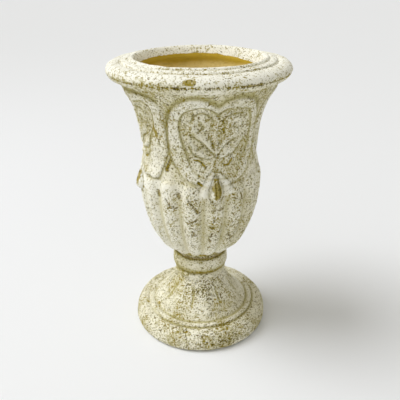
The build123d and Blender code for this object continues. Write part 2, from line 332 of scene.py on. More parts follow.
def grainyFinish(name, dark, light, grainSize, bumpDepth, rough):
    material, tree, shader, place = startFinish(name)
    shader.inputs["Roughness"].default_value = rough
    shader.inputs["Specular IOR Level"].default_value = 0.25
    grain = addNode(tree, "ShaderNodeTexNoise", {"Scale": 1 / (grainSize * mm), "Detail": 5.0},
                    {"Vector": place}).outputs["Fac"]
    amount = addNode(tree, "ShaderNodeMapRange", {"From Min": 0.35, "From Max": 0.65}, {"Value": grain})
    mix = addNode(tree, "ShaderNodeMix", {"data_type": "RGBA", 6: linear(dark), 7: linear(light)},
                  {0: amount.outputs["Result"]})
    endFinish(tree, shader, mix.outputs[2], grain, 0.6, bumpDepth)
    return material


zincLook = {"light": "#C9CAC6", "dull": "#A9A99F", "blotchSize": 3.5, "roughLow": 0.28, "roughHigh": 0.5,
            "bumpDepth": 0.05}


def zincPlate(look):
    # Zinc-plated steel, barrel plated: a thin bluish-grey metal skin with turned marks too fine to see,
    # broken up for the eye by dull blotches a few mm wide.
    material, tree, shader, place = startFinish("zincPlatedSteel")
    shader.inputs["Metallic"].default_value = 1.0
    blotch = addNode(tree, "ShaderNodeTexNoise", {"Scale": 1 / (look["blotchSize"] * mm), "Detail": 4.0},
                     {"Vector": place}).outputs["Fac"]
    tint = addNode(tree, "ShaderNodeMix", {"data_type": "RGBA", 6: linear(look["light"]), 7: linear(look["dull"])},
                   {0: blotch})
    rough = addNode(tree, "ShaderNodeMapRange",
                    {"From Min": 0.3, "From Max": 0.7, "To Min": look["roughLow"], "To Max": look["roughHigh"]},
                    {"Value": blotch})
    tree.links.new(rough.outputs["Result"], shader.inputs["Roughness"])
    endFinish(tree, shader, tint.outputs[2], blotch, 0.25, look["bumpDepth"])
    return material


stone = castStone(castStoneLook)
zinc = zincPlate(zincLook)
# Lime mortar, pressed out and wiped by thumb: sandy and matt, a dirty ochre line between the castings.
mortar = grainyFinish("limeMortar", "#8E7A44", "#B8AC86", 2.2, 0.6, 0.95)
# Black rubber, punched from sheet: nearly even, a little shiny against the chalky stone.
rubber = grainyFinish("blackRubber", "#141414", "#1E1E1D", 1.5, 0.08, 0.62)
# Brown wool felt, pressed: fully matt, with a fine fuzz of lighter fibres.
felt = grainyFinish("brownFelt", "#4A3F30", "#66583F", 0.6, 0.5, 1.0)
print("finishes ready")


# bowl casting; points of its outline are radius and height in mm
bowl = {
    "steps": 456, "widest": 98.45, "lowest": 98.5, "highest": 329.95,
    "humps": [(34, 3, 0.28), (11, 5, 0.16), (5, 8, 0.08)], "wornAway": 0.25,  # humps: size in mm, seed, height
    "skinLow": 105.4, "skinHigh": 308, "wallGap": 3,  # ends of the outer skin, and its least way from the inside
    "gadroons": 16, "gadroonDepth": 6.4, "valleySink": 1.4, "tongueTop": 210.0, "tongueDrop": 8.0, "tongueRound": 9.0,
    "swellHeights": [105.5, 109, 119, 132], "swellShares": [0.2, 0.5, 0.85, 1.0],
    "grooveDepth": 2.3, "ribbonRise": 3.5, "lowSink": 1.7, "innerGrooveDepth": 1.2, "fieldDrop": 2.2, "bellSink": 1.5,
    "ridgeRise": 1.5, "cutDepth": 1.25, "markRadius": 66,
    "rimEdge": 316.0, "rimGrooves": (82.6, 74.2), "neckJoint": 99.0,
    "washEdge": 322.6, "washEdgeDip": 4.5, "bareFloor": 120.2,
    "start": (31.2, 98.5),
    "necking": [(30.4, 102.0), (32.0, 105.5)],
    "belly": [
        (38.6, 109.4), (46.0, 118.4), (52.9, 132.0), (58.6, 148.5), (62.5, 165.0), (64.8, 181.2), (65.3, 192.0),
        (65.2, 203.0),
    ],
    "bell": [
        (64.6, 217.5), (63.4, 231.2), (63.9, 244.2), (65.7, 257.9), (68.2, 270.9), (71.1, 280.75), (74.7, 289.5),
        (79.7, 297.3), (86.3, 307.4),
    ],
    "roll": [
        (91.4, 309.2), (95.8, 312.3), (98.25, 317.2), (96.7, 321.6), (92.7, 324.6), (88.2, 325.7), (83.8, 325.5),
    ],
    "rimGroove": [(82.6, 324.5), (81.4, 326.9)],
    "rimStep": [(78.2, 327.6), (75.3, 327.8)],
    "lipGroove": [(74.2, 326.9), (73.4, 328.4)],
    "lip": [(71.2, 329.85), (68.6, 328.5), (65.2, 324.0), (62.9, 320.3), (61.6, 317.5)],
    "collar": [(61.6, 311.5)],
    "inside": [
        (56.3, 276.0), (53.4, 245.0), (53.7, 225.0), (54.9, 210.0), (56.4, 193.0), (55.0, 173.0), (52.6, 163.0),
        (49.1, 153.0), (44.6, 143.5), (39.0, 135.0), (32.0, 127.0), (24.0, 120.5),
    ],
    "floor": [(4.5, 120.5)],
    "bore": [(4.5, 98.5)],
    "seat": [(31.2, 98.5)],
    "spacings": {"necking": 1.8, "belly": 2.0, "bell": 1.3, "roll": 1.9, "rimGroove": 0.9, "rimStep": 1.6,
                 "lipGroove": 0.8, "lip": 1.7, "collar": 3.0, "inside": 13.0, "floor": 7.0, "bore": 8.0, "seat": 9.0},
}

# hearts, as angle from a heart's middle in degrees and height in mm
hearts = {
    "outer": [
        (0, 293), (-4.2, 296.7), (-8.8, 300.6), (-13.6, 302.9), (-19, 303.4), (-24.6, 301.3), (-30, 297.6),
        (-35.5, 291), (-40.3, 281), (-43, 268), (-43.8, 254), (-43.2, 241), (-40.2, 231.5), (-35, 224),
        (-29.5, 216.5), (-21.5, 210.5), (-12, 208), (0, 206), (12, 207), (21, 209), (28, 212), (35.3, 218.5),
        (40.8, 227), (43.6, 236), (44.2, 248), (43.4, 264), (40, 280), (36, 288), (31.5, 294), (25.9, 299.2),
        (18.9, 302.3), (13.8, 302.5), (8.4, 301.4), (4, 299),
    ],
    "inner": [
        (0.6, 285), (-1.9, 286.5), (-5.1, 290), (-8.5, 292.5), (-13.6, 293.8), (-18, 292.5), (-22.7, 290.5),
        (-26.3, 287.2), (-29.2, 282.3), (-31, 274.5), (-31.2, 266), (-30.2, 257.8), (-28.3, 249), (-25.4, 238.5),
        (-23.6, 231), (-21, 225.5), (-16, 219.3), (-9, 216), (0, 215), (10, 214.5), (17, 215), (21.3, 217),
        (24.3, 222), (27, 228), (30.1, 233.5), (32.5, 242), (34.2, 250), (34.4, 258.5), (34.2, 267), (32.1, 276.3),
        (28.5, 284.3), (25, 288.2), (19, 290), (12.5, 290.3), (6.5, 291.5), (3.0, 289),
    ],
}
# the heart on the left was pressed wider, with a broader ribbon towards the front
hearts["leftOuter"] = [point for point in hearts["outer"] if point[0] < 22] + [
    (26, 303.6), (34, 301.6), (41, 299.5), (46.1, 291.1), (49.2, 279.8), (49.6, 267.9), (48.6, 255.7), (46.6, 244),
    (41.3, 229.3), (34.5, 212.1), (27, 208)]
hearts["leftInner"] = [point for point in hearts["inner"] if point[0] < 18] + [
    (25, 294), (31, 295.5), (34, 289.5), (34.1, 277.6), (32, 267.2), (27.1, 257), (22.5, 244), (19, 231), (17.5, 222)]
heartMiddle = 255
for line in ("leftOuter", "leftInner"):
    hearts[line].sort(key=lambda point: -math.atan2(point[1] - heartMiddle, point[0]))
# raised strokes: points, half width, height
bowl["ridges"] = [
    ([(-2.5, 233), (-9, 240), (-15, 245), (-20, 250), (-24, 258)], 2.6, 1.3),
    ([(2.5, 233), (9, 240), (15, 244), (21, 249), (26, 257)], 2.6, 1.3),
    ([(-2, 244), (-8, 254), (-14, 262), (-19, 271)], 2.7, 1.3),
    ([(3, 244), (8, 253), (13, 259), (19, 265), (24, 270)], 2.5, 1.2),
    ([(0.2, 240), (0.2, 251), (-0.6, 262), (-0.6, 271), (0.4, 279)], 1.9, 1.7),
    ([(-21, 268), (-18, 277), (-13, 280), (-9, 276), (-9.5, 270), (-13, 268)], 2.0, 1.1),
    ([(22, 270), (21, 277), (15, 279), (10, 276), (9, 271), (12, 268)], 2.0, 1.1),
    ([(-9, 297), (-5.5, 294), (-2.2, 289.5), (-0.3, 284), (-2, 280)], 1.5, 1.5),
    ([(1.3, 294.5), (4.6, 291), (4.6, 287), (7.2, 284.5), (9.5, 286)], 1.4, 1.4),
    ([(-3.5, 231), (-9, 227.5), (-14, 230), (-18.5, 236), (-21, 243)], 2.0, 1.3),
    ([(2.5, 231), (8, 227), (14, 229), (19.5, 235), (23.5, 243)], 2.0, 1.3),
    ([(-3, 229), (-6, 223), (-11, 220), (-15, 223)], 1.8, 0.9),
    ([(3, 228), (7, 222.5), (12, 220), (17, 223)], 1.8, 0.9),
]
# cut strokes: points, half width, depth, stain
bowl["cuts"] = [
    ([(-22.4, 263.7), (-17.1, 258.7), (-11.6, 254.1), (-6.9, 247.8), (-1.8, 241.6), (0.8, 236.3)], 0.8, 1.2, 0.45),
    ([(19.5, 256.5), (11.9, 252.8), (7, 248.8), (4.2, 243.2), (1.8, 236.6)], 0.8, 1.1, 0.4),
    ([(-1.5, 247.5), (-3.2, 253.8), (-5.2, 258.4), (-7.2, 262)], 0.7, 0.9, 0.5),
    ([(1.9, 248.5), (3.1, 254.1), (5, 257)], 0.7, 0.9, 0.5),
    ([(-21.5, 277.2), (-19.2, 283), (-15.9, 286.1), (-11.9, 287), (-7.9, 284.2), (-5, 281), (-3, 277.5)],
     1.0, 1.2, 0.55),
    ([(5, 278), (7.6, 282.2), (11.9, 284), (16.7, 284.3), (21.5, 283.6)], 1.0, 1.1, 0.5),
    ([(16.2, 274.2), (15.9, 269.6), (20.1, 267.6), (21.9, 263.7)], 0.7, 0.9, 0.6),
    ([(-14.5, 274), (-11, 271.5), (-14, 268.5), (-16.5, 266)], 0.8, 0.8, 0.5),
    ([(6, 268), (7.2, 264.5)], 1.3, 1.6, 1.0),
    ([(4.4, 277.5), (4.8, 275.5)], 1.1, 1.3, 0.9),
    ([(-1.5, 284.5), (1.6, 282.5)], 1.0, 1.2, 0.8),
    ([(-17.3, 246.5), (-14.9, 250), (-12, 251)], 0.8, 0.8, 0.3),
    ([(-24, 250), (-21, 243.5), (-15, 239), (-5, 236.5)], 0.7, 0.7, 0.25),
    ([(24, 247), (19, 241), (12, 238), (4, 236)], 0.7, 0.7, 0.25),
    ([(-19.4, 236), (-14.2, 234.6), (-11.4, 230.8), (-9, 228)], 1.1, 1.2, 1.0),
    ([(8.5, 228.5), (13.1, 229), (17.2, 234)], 1.2, 1.3, 1.0),
    ([(-16, 212), (-13, 209)], 1.2, 1.2, 1.0),
]
# what hangs from each heart: two leaves and a split bud
pendant = {
    "knob": (-0.8, 230.5), "knobRadius": 4.2, "knobRise": 2.3,
    "leaves": [[(-2.4, 220), (-4.6, 215.5), (-7.6, 209), (-9.8, 203), (-11.2, 198)],
               [(3.2, 219.5), (6, 215), (9.4, 209.5), (11.8, 204), (13, 200)]],
    "leafWidth": 3.9, "leafRise": 4.4,
    "bud": (0.1, 204.5), "budHalfWidth": 5.9, "budHalfHeight": 14.5, "budRise": 8.6, "budLean": 4.4,
    "slits": [[(-0.6, 211), (-0.9, 204), (-0.7, 196)], [(2.0, 212), (2.4, 205), (2.2, 198)]], "slitDepth": 1.5,
    "sideDrop": 5.5,
}
# worn-through marks at their own places on the front: angle and height, half width, depth
bowl["frontMarks"] = [
    ([(-24.8, 192.9), (-20.1, 185.7), (-16.7, 179.2)], 0.8, 0.8), ([(-17.8, 180.2), (-15.8, 178)], 1.5, 0.9),
    ([(-4.6, 180.2), (-0.8, 181)], 0.7, 0.6), ([(1.8, 180.6), (6.2, 181.8)], 1.0, 0.7),
    ([(-23.9, 165.6), (-20.9, 167.3), (-17.8, 169)], 1.0, 0.8), ([(-26.8, 165), (-26.2, 164.4)], 1.1, 0.8),
    ([(-22.9, 154), (-20.4, 151.9), (-22.7, 147)], 1.0, 0.8),
    ([(-0.9, 170.5), (-1.5, 166)], 0.9, 0.5), ([(-4.6, 160.5), (-2.6, 157.5)], 1.1, 0.6),
    ([(-1.8, 151.1), (-3.4, 147)], 0.9, 0.5), ([(-5.4, 141.5), (-3.6, 138)], 1.0, 0.5),
    ([(-3.6, 131), (-5.6, 127.5)], 0.8, 0.4),
    ([(-35.4, 197.4), (-34.4, 193.6)], 1.6, 0.9), ([(-46, 190.5), (-43.5, 187), (-41.5, 182.5)], 0.9, 0.5),
    ([(-44, 181), (-40, 182), (-36.5, 181)], 0.8, 0.4), ([(-57.5, 195), (-56.5, 190)], 1.5, 0.6),
    ([(16, 147), (20, 139), (15, 136)], 0.7, 0.4), ([(24, 196), (26, 188)], 0.8, 0.4),
    ([(-47.5, 222), (-45.3, 227.5), (-43, 233.5)], 1.6, 0.4), ([(-16, 212.3), (-14.8, 210.6)], 1.2, 0.8),
]
# mossy places inside the left heart, below its ribbon and on the front bud: angle, height, widths, strength
bowl["mossSpots"] = [(-55.5, 261, 4.2, 11.0, 0.85), (-46.5, 223, 3.2, 5.5, 0.7), (0.5, 205, 3.2, 7.0, 0.42)]

mesh = spunMesh("bowlCasting", castingOutline(bowl), bowl["steps"])
place, normal = readMesh(mesh)
radius, height, turn = polar(place)
valleyLine = smoothLine(bowl["necking"][-1:] + bowl["belly"] + bowl["bell"], 1.0)
insideLine = smoothLine(bowl["collar"][-1:] + bowl["inside"], 2.0)[::-1]
innerRadius = np.interp(height, insideLine[:, 1], insideLine[:, 0])
outerSkin = (radius > innerRadius + bowl["wallGap"]) & (height > bowl["skinLow"]) & (height < bowl["skinHigh"])
run = np.concatenate([[0], np.cumsum(np.linalg.norm(np.diff(valleyLine, axis=0), axis=1))])


def onSkin(angles, heights):
    # angle and height laid out flat, in mm along the skin
    girth = np.interp(heights, valleyLine[:, 1], valleyLine[:, 0])
    return np.radians(angles) * girth, np.interp(heights, valleyLine[:, 1], run)


def skinLine(points, spacing=1.2):
    line = np.array(points, float)
    return smoothLine(np.column_stack(onSkin(line[:, 0], line[:, 1])), spacing)


def insideBy(plain, left):
    # how far inside a heart's line each point lies; the heart on the left has lines of its own
    gap = np.empty(len(skin))
    for here, name in ((~onLeft, plain), (onLeft, left)):
        loop = skinLine(hearts[name] + hearts[name][:1])
        away, _ = toLine(x[here], y[here], loop)
        gap[here] = np.where(insideLoop(x[here], y[here], loop), away, -away)
    return gap


def grooveShape(gap, widthOut, widthIn):
    # 1 on a heart's line, softer on one side than on the other
    return soft(np.minimum(gap, 0), widthOut) * soft(np.maximum(gap, 0), widthIn)


skin = np.nonzero(outerSkin)[0]
skinTurn, skinHeight = turn[skin], height[skin]
x, y = onSkin((skinTurn + 45) % 90 - 45, skinHeight)  # folded, so that one heart is drawn four times
skinStain = np.zeros(len(skin))

# gadroons: round lobes that end above in blunt tongues
halfPitch = 180 / bowl["gadroons"]
lobe = ((skinTurn + halfPitch) % (2 * halfPitch) - halfPitch) / halfPitch
fromCrest = np.abs(lobe)
crestShare = np.interp(skinHeight, bowl["swellHeights"], bowl["swellShares"])
tongue = bowl["tongueTop"] - bowl["tongueDrop"] * lobe ** 2
ending = np.clip((skinHeight - tongue + bowl["tongueRound"]) / bowl["tongueRound"], 0, 1)
rounded = 0.5 + 0.5 * np.cos(np.pi * np.clip((fromCrest - 0.24) / 0.76, 0, 1))
hump = 0.55 * (1 - fromCrest ** 2.4) + 0.45 * rounded
lobeRise = bowl["gadroonDepth"] * crestShare * hump * np.sqrt(1 - ending ** 2)
lobeRise -= bowl["valleySink"] * crestShare * ease((212 - skinHeight) / 10)
inValley = ease((fromCrest - 0.62) / 0.38) * (ending <= 0) * crestShare
print("gadroons shaped")

# heart ribbons with a soft groove outside and a fine one inside
onLeft = np.abs(skinTurn + 90) < 45
gapOut, gapIn = insideBy("outer", "leftOuter"), insideBy("inner", "leftInner")
above = ease((skinHeight - 203) / 8)  # the hearts sink away behind the tongues
lowDown = ease((246 - skinHeight) / 24) * ease((skinHeight - 205) / 12)
heartLift = bowl["ribbonRise"] * ease((gapOut - 0.1) / 2.3) - bowl["lowSink"] * lowDown
heartLift -= bowl["grooveDepth"] * grooveShape(gapOut, 4.0, 1.0) * (1 - 0.6 * lowDown)
heartLift -= bowl["innerGrooveDepth"] * soft(gapIn, 1.1) + bowl["fieldDrop"] * ease((gapIn - 0.2) / 2.5)
skinStain += 0.42 * soft(gapIn, 1.3) + 0.3 * soft(gapOut, 2.0)

onRidge = np.zeros(len(skin))
for points, halfWidth, rise in bowl["ridges"]:
    gap, along = toLine(x, y, skinLine(points))
    taper = 0.55 + 0.45 * np.sin(np.pi * np.clip(along, 0.05, 0.95))
    ridge = soft(gap, halfWidth * taper) * ease((gapIn + 1) / 2)
    heartLift += bowl["ridgeRise"] * rise * ridge
    onRidge = np.maximum(onRidge, ridge)
# dark lines painted along the cuts, the heart's inner line, the leaves and the bud: painted shade at relief edges, with
# dirt in the cuts
cutShade, nearShadeLine = np.zeros(len(skin)), np.full(len(skin), farGap)
for points, halfWidth, depth, mark in bowl["cuts"]:
    gap, _ = toLine(x, y, skinLine(points))
    heartLift -= bowl["cutDepth"] * depth * soft(gap, halfWidth)
    cutShade = np.maximum(cutShade, soft(gap, halfWidth * 1.3))
    nearShadeLine = np.minimum(nearShadeLine, gap / (halfWidth + 0.2))
    skinStain += mark * soft(gap, halfWidth * 1.25)
fieldEdge = 0.45 + np.abs(gapIn) / 1.15 + 3 * ease((230 - skinHeight) / 14) + 0.35 * ease(x / 20)
nearShadeLine = np.minimum(nearShadeLine, fieldEdge)
# the groove shared by the front heart and the one to its left gets the darkest painted shadow
sharedEdge = np.abs(gapOut + 0.4) / 1.5 + 3 * ease((228 - skinHeight) / 10) + 3 * ease((skinHeight - 288) / 12)
# painted shadow along the right edge of the left heart's ribbon
topEdge = 0.1 + np.abs(gapOut + 0.4) / 1.4 + 3 * ease((skinHeight - 308) / 6)
nearShadeLine = np.where(onLeft & (x > 0), np.minimum(nearShadeLine, topEdge), nearShadeLine)
nearShadeLine = np.where((skinTurn > -50) & (skinTurn < -25), np.minimum(nearShadeLine, sharedEdge), nearShadeLine)
nearShadeLine = np.where(above > 0.5, nearShadeLine, farGap)
heartLift -= bowl["bellSink"] * ease((skinHeight - 214) / 16) * ease((307.5 - skinHeight) / 8)
print("hearts shaped")

# pendant; it hangs lower on the hearts at the sides
atSides = np.abs(np.abs(skinTurn) - 90) < 22.5
y = y + pendant["sideDrop"] * atSides * ease((228 - skinHeight) / 8)
knobX, knobY = onSkin(*pendant["knob"])
away = np.hypot(x - knobX, y - knobY) / pendant["knobRadius"]
pendantLift = pendant["knobRise"] * np.exp(-away ** 2 * 1.6)
onPendant = np.zeros(len(skin))
for points in pendant["leaves"]:
    gap, along = toLine(x, y, skinLine(points))
    leafHalf = pendant["leafWidth"] * (0.6 + 0.5 * along)
    leafShape = soft(gap, leafHalf)
    pendantLift = np.maximum(pendantLift, pendant["leafRise"] * (0.35 + 0.65 * along) * leafShape)
    onPendant = np.maximum(onPendant, leafShape)
    leafEdge = 0.3 + np.abs(gap - 1.4 * leafHalf) / 1.2
    nearShadeLine = np.where(along < 0.97, np.minimum(nearShadeLine, leafEdge), nearShadeLine)
budX, budY = onSkin(*pendant["bud"])
across, up = (x - budX) / pendant["budHalfWidth"], (y - budY) / pendant["budHalfHeight"]
narrowed = across / np.clip(1.05 - 0.55 * up, 0.4, 1.25)
dome = np.sqrt(np.clip(1 - narrowed ** 2 - np.abs(up) ** 2.6, 0, 1))
budLift = dome * (pendant["budRise"] - pendant["budLean"] * up)
nearMark = np.full(len(skin), farGap)
for points in pendant["slits"]:
    gap, _ = toLine(x, y, skinLine(points))
    budLift -= pendant["slitDepth"] * soft(gap, 0.9) * (dome > 0.2)
    slitGap = 0.4 + gap / 0.9 + 1.2 * (np.abs(skinTurn) > 45)
    nearMark = np.where(dome > 0.2, np.minimum(nearMark, slitGap), nearMark)
    skinStain += 0.5 * soft(gap, 1.4) * (dome > 0.3)
fromBud = np.hypot(narrowed, up)
budEdge = soft(fromBud - 1.1, 0.12) * (np.abs(up) < 1)
skinStain += 0.15 * budEdge + 0.2 * (dome > 0.35) + 0.25 * (dome > 0.6)
onPendant = np.maximum(onPendant, 0.5 * (dome > 0.15))
nearShadeLine = np.minimum(nearShadeLine, 0.5 + np.abs(fromBud - 1.12) * pendant["budHalfWidth"])

# the highest of hearts, gadroons and pendant is the one that shows
skinLift = heartLift * above
skinLift = np.maximum(skinLift, lobeRise) + np.minimum(skinLift, 0) * (lobeRise > skinLift) * 0.3
skinLift = np.maximum(skinLift, pendantLift + np.maximum(lobeRise, 0) * 0.45)
skinLift = np.maximum(skinLift - 0.8 * budEdge, np.where(dome > 0, budLift, -np.inf))
skinStain += 0.12 * inValley

flatX = np.radians(skinTurn) * bowl["markRadius"]
for points, halfWidth, depth in bowl["frontMarks"]:
    angles, heights = np.array(points, float).T
    flat = [np.radians(angles) * bowl["markRadius"], np.interp(heights, valleyLine[:, 1], run)]
    gap, _ = toLine(flatX, y, smoothLine(np.column_stack(flat), 1.2))
    skinLift -= depth * soft(gap, halfWidth)
    skinStain += 0.5 * soft(gap, halfWidth * 1.3)
    nearMark = np.minimum(nearMark, gap / (halfWidth + 0.15))
for at, level, wide, tall, strength in bowl["mossSpots"]:
    skinStain += strength * softSpot(skinTurn, skinHeight, at, level, wide, tall)

lift, stain, grimeAndShade = [np.zeros(len(place)) for _ in range(3)]
shadeLineGap, markGap = np.ones(len(place)), np.ones(len(place))
lift[skin], stain[skin] = skinLift, skinStain
# painted shade on the bell band under the rim's overhang: duller, darker and more speckled
onBell = ease((skinHeight - 262) / 30) * (1 - ease((gapOut + 1) / 1.5))
onRibbon = ease((gapOut - 0.8) / 1.6) * (1 - ease((gapIn + 1.6) / 1.4)) * above
# painted shade, with some dirt, in the heart grooves, around the cuts, in the heart field and in the gadroon valleys
grimeAndShade[skin] = np.maximum.reduce([
    (0.6 + 0.3 * ease((skinHeight - 268) / 20)) * grooveShape(gapOut, 3.6, 1.2) * (1 - 0.4 * lowDown) * above,
    0.85 * soft(gapIn, 1.4) * (1 - 0.6 * lowDown) * above, 0.6 * cutShade * above,
    0.12 * ease((gapIn - 1) / 3) * above, 0.4 * inValley,
]) + 0.16 * onBell
neck = height < 108
neckGap = 0.2 + np.abs(height[neck] - bowl["neckJoint"]) / 1.7 + 0.5 * np.sin(np.radians(turn[neck]) * 8) ** 2
markGap[neck] = neckGap / farGap
shadeLineGap[skin], markGap[skin] = nearShadeLine / farGap, np.minimum(markGap[skin], nearMark / farGap)

# worn unevenness everywhere, less on the seat and inside
outside = outerSkin | ((height >= bowl["skinHigh"]) & (radius > 62))
lift += np.where(outside, rubbed(place, bowl["humps"]) - bowl["wornAway"], 0)
# soft dents along the rim's under edge, and the rubbed grooves of its top
under = soft(height - bowl["rimEdge"], 1.2) * (radius > 93)
rimTurn = np.radians(turn)
underStain = 0.4 + 0.3 * np.sin(rimTurn * 7 + 1.1) * np.sin(rimTurn * 3 - 0.4)
stain += under * underStain * (1 - 0.75 * ease((turn - 5) / 30))
worn = 0.45 + 0.35 * soft(turn + 22, 30)
for grooveRadius in bowl["rimGrooves"]:
    stain += worn * soft(radius - grooveRadius, 1.3) * (height > 323)
# one round patch is rubbed bare on the rim's front
patchAt = np.hypot((turn + 19.6) / 3.7, (height - 321.2) / 2.7) + 9 * (radius < 92)
stain += 0.7 * soft(patchAt - 0.75, 0.35) + 0.6 * soft(patchAt, 1)
lift -= 0.7 * soft(patchAt, 1) + 0.6 * under * (np.sin(rimTurn * 31 + 2.0 * np.sin(rimTurn * 9)) > 0.5)
# painted shade, with stain, in the cove under the gadroons
neckBand = soft(height - 102, 3.5) * (radius > 28) * neck
stain += 0.7 * neckBand
grimeAndShade += 0.6 * neckBand
moveMesh(mesh, keepWithin(place + normal * lift[:, None], bowl))

# where the specks crowd, where painted light whitens the wash, and where the wash ends inside
onCrest = (1 - fromCrest) * (skinHeight < 207)
crowdingAndLight = 0.54 + 0.12 * ease((gapIn + 1) / 4) * above + 0.12 * onCrest - 0.22 * inValley + 0.15 * onBell
# painted light: fewer specks on the lit left gadroons
crowdingAndLight -= 0.1 * ease((-skinTurn - 25) / 30) * (skinHeight < 207)
crowdingAndLight -= 0.14 * ease((140 - skinHeight) / 25)
# painted highlight: fewer specks on the raised ridges and pendant
crowdingAndLight += 0.02 * onRibbon - 0.2 * onRidge * above - 0.3 * onPendant
pittingAndLight = np.full(len(place), 0.5)
pittingAndLight[skin] = crowdingAndLight
pittingAndLight += 0.5 * under
# painted light: faces turned up are painted whiter, the rim most
washedAndLit = ease((normal[:, 2] + 0.25) / 1.1) * (height > 300) + 0.35 * ease(normal[:, 2]) * (height <= 300)
# painted highlight, with a cleaner wash, on raised ribbons, ridges, pendant and crests; painted shade on the bell under
# the rim
washedAndLit[skin] += 0.3 * onRibbon + 0.4 * onRidge * above + 0.6 * onPendant + 0.3 * onCrest - 0.3 * onBell
# painted light: the gadroons on the lit left side are painted whiter
washedAndLit[skin] += 0.4 * ease((-skinTurn - 30) / 30) * (skinHeight < 207)
edgeLevel = bowl["washEdge"] - bowl["washEdgeDip"] * np.clip(np.cos(np.radians(turn - 75)), 0, 1) ** 1.5
bareWall = np.where(height > 317, radius < 68.5, radius < innerRadius + bowl["wallGap"]) & (height > bowl["bareFloor"])
# a thin broken line along the rim's widest edge
broken = 3.0 * ease(0.78 - 0.9 * np.sin(rimTurn * 29 + 2.9 * np.sin(rimTurn * 11)))
broken += 1.2 * ease((np.abs(turn + 2) - 28) / 12)
edgeGap = (np.abs(height - bowl["rimEdge"]) / 1.2 + broken) / farGap
markGap = np.where(radius > 92, np.minimum(markGap, edgeGap), markGap)
paint(mesh, {
    "grimeAndShade": grimeAndShade, "stain": stain, "pittingAndLight": pittingAndLight, "shadeLineGap": shadeLineGap, "markGap": markGap, "washedAndLit": washedAndLit,
    "bareInside": np.where(bareWall, ease((edgeLevel - height) / 1.6), 0),
})
placePiece("bowlCasting", mesh, stone, "bowl_casting")
print("bowl casting", len(mesh.polygons), "faces")


# pedestal casting
pedestal = {
    "steps": 420, "widest": 83.3, "lowest": 0.8, "highest": 97.2,
    "humps": [(30, 12, 0.26), (10, 14, 0.15), (5, 17, 0.08)], "wornAway": 0.22,
    "leaves": 8, "leafTurn": -5.3, "leafRise": 1.7, "leafFoot": 29.5, "leafHead": 62.0,
    "tipRise": 7.5, "seamDepth": 0.9, "ripple": 0.3, "ripples": 16,
    "grooves": [(67.3, 23.2), (59.5, 25.9)], "grooveDepth": 0.7, "spotDepth": 0.5, "longPitDepth": 1.1,
    "start": (59.1, 0.8),
    "foot": [(78.7, 0.8)],
    "edge": [(81.9, 2.1), (83.2, 5.4), (83.25, 7.1)],
    "crown": [(82.3, 13.6), (79.7, 19.1), (75.8, 22.8), (71.1, 24.1)],
    "shelf": [(68.6, 23.9), (67.3, 23.2)],
    "bead": [(66.0, 25.2), (63.5, 26.5), (61.0, 26.1), (59.7, 25.6)],
    "cone": [(58.8, 26.5), (50.6, 34.0), (43.0, 42.6), (36.0, 52.5), (31.2, 61.2), (29.0, 66.1)],
    "fillet": [(30.5, 67.7), (31.2, 70.3), (31.0, 72.8), (30.2, 74.5)],
    "roll": [(32.2, 77.6), (33.5, 82.0), (33.8, 86.2), (33.5, 90.5), (32.5, 94.2), (31.2, 97.2)],
    "top": [(4.5, 97.2)],
    "bore": [(4.5, 50.8)],
    "crownInside": [(20.0, 50.8)],
    "hollow": [(24.9, 36.4), (31.9, 24.0), (42.0, 12.0), (50.1, 5.0), (56.4, 0.8)],
    "rest": [(59.1, 0.8)],
    "spacings": {"foot": 5.0, "edge": 1.3, "crown": 1.45, "shelf": 1.2, "bead": 1.0, "cone": 1.35, "fillet": 1.1,
                 "roll": 1.35, "top": 7.0, "bore": 8.0, "crownInside": 5.0, "hollow": 4.0, "rest": 3.0},
}
# worn-through places on the plinth's front: angle, height, widths, strength
pedestal["spots"] = [
    (-5, 10.9, 4.5, 1.8, 0.9), (-16.3, 24.6, 4.0, 0.9, 0.9), (-28, 22.9, 2.6, 1.2, 0.9), (-24, 22.0, 1.6, 1.2, 0.7),
    (-35, 7.1, 3.0, 1.8, 0.6), (3, 22.6, 2.5, 1.0, 0.6), (-62, 9.0, 2.6, 3.0, 0.5), (-80, 15.0, 6.0, 3.5, 0.4),
    (14, 10.5, 4.0, 2.0, 0.35), (33, 7.5, 5.0, 2.5, 0.3),
]

mesh = spunMesh("pedestalCasting", castingOutline(pedestal), pedestal["steps"])
place, normal = readMesh(mesh)
radius, height, turn = polar(place)
around = np.radians(turn)
hollowLine = smoothLine(pedestal["crownInside"][-1:] + pedestal["hollow"], 2.0)[::-1]
hollowRadius = np.interp(height, hollowLine[:, 1], hollowLine[:, 0])
outside = (radius > hollowRadius + 3) & (height > 1.0) & (radius > 27.5)
onCone = outside & (height > 26) & (height < 65) & (radius < 59.5)

# broad leaves lie on the cone, each with a raised rib; smaller tips show between them
halfPitch = 180 / pedestal["leaves"]
leafTurn = turn - pedestal["leafTurn"]
leaf = np.abs((leafTurn + halfPitch) % (2 * halfPitch) - halfPitch) / halfPitch  # 0 on a rib, 1 between two leaves
spanUp = np.clip((height - pedestal["leafFoot"]) / (pedestal["leafHead"] - pedestal["leafFoot"]), 0, 1)
tip = pedestal["leafFoot"] + pedestal["tipRise"] * leaf ** 2.4
onLeaf = ease((height - tip) / 2.2) * ease((pedestal["leafHead"] - height) / 9)
rib, seam = (1 - leaf) ** 1.2, soft(1 - leaf, 0.09) * onLeaf
leafLift = pedestal["leafRise"] * onLeaf * (0.25 + 0.9 * rib) * (1 - 0.55 * spanUp) - pedestal["seamDepth"] * seam
ripple = pedestal["ripple"] * np.cos(np.radians(leafTurn * pedestal["ripples"])) * onLeaf
paleSpot = softSpot(turn, height, -69, 53, 14, 12)  # the cone stays whiter on its left
lift = np.where(onCone, leafLift + ripple - 0.5, 0)
grimeAndShade = np.where(onCone, 0.7 * seam, 0)
stain = np.where(onCone, 0.35 * seam + 0.4 * ease((height - 56) / 8), 0) * (1 - 0.8 * paleSpot)
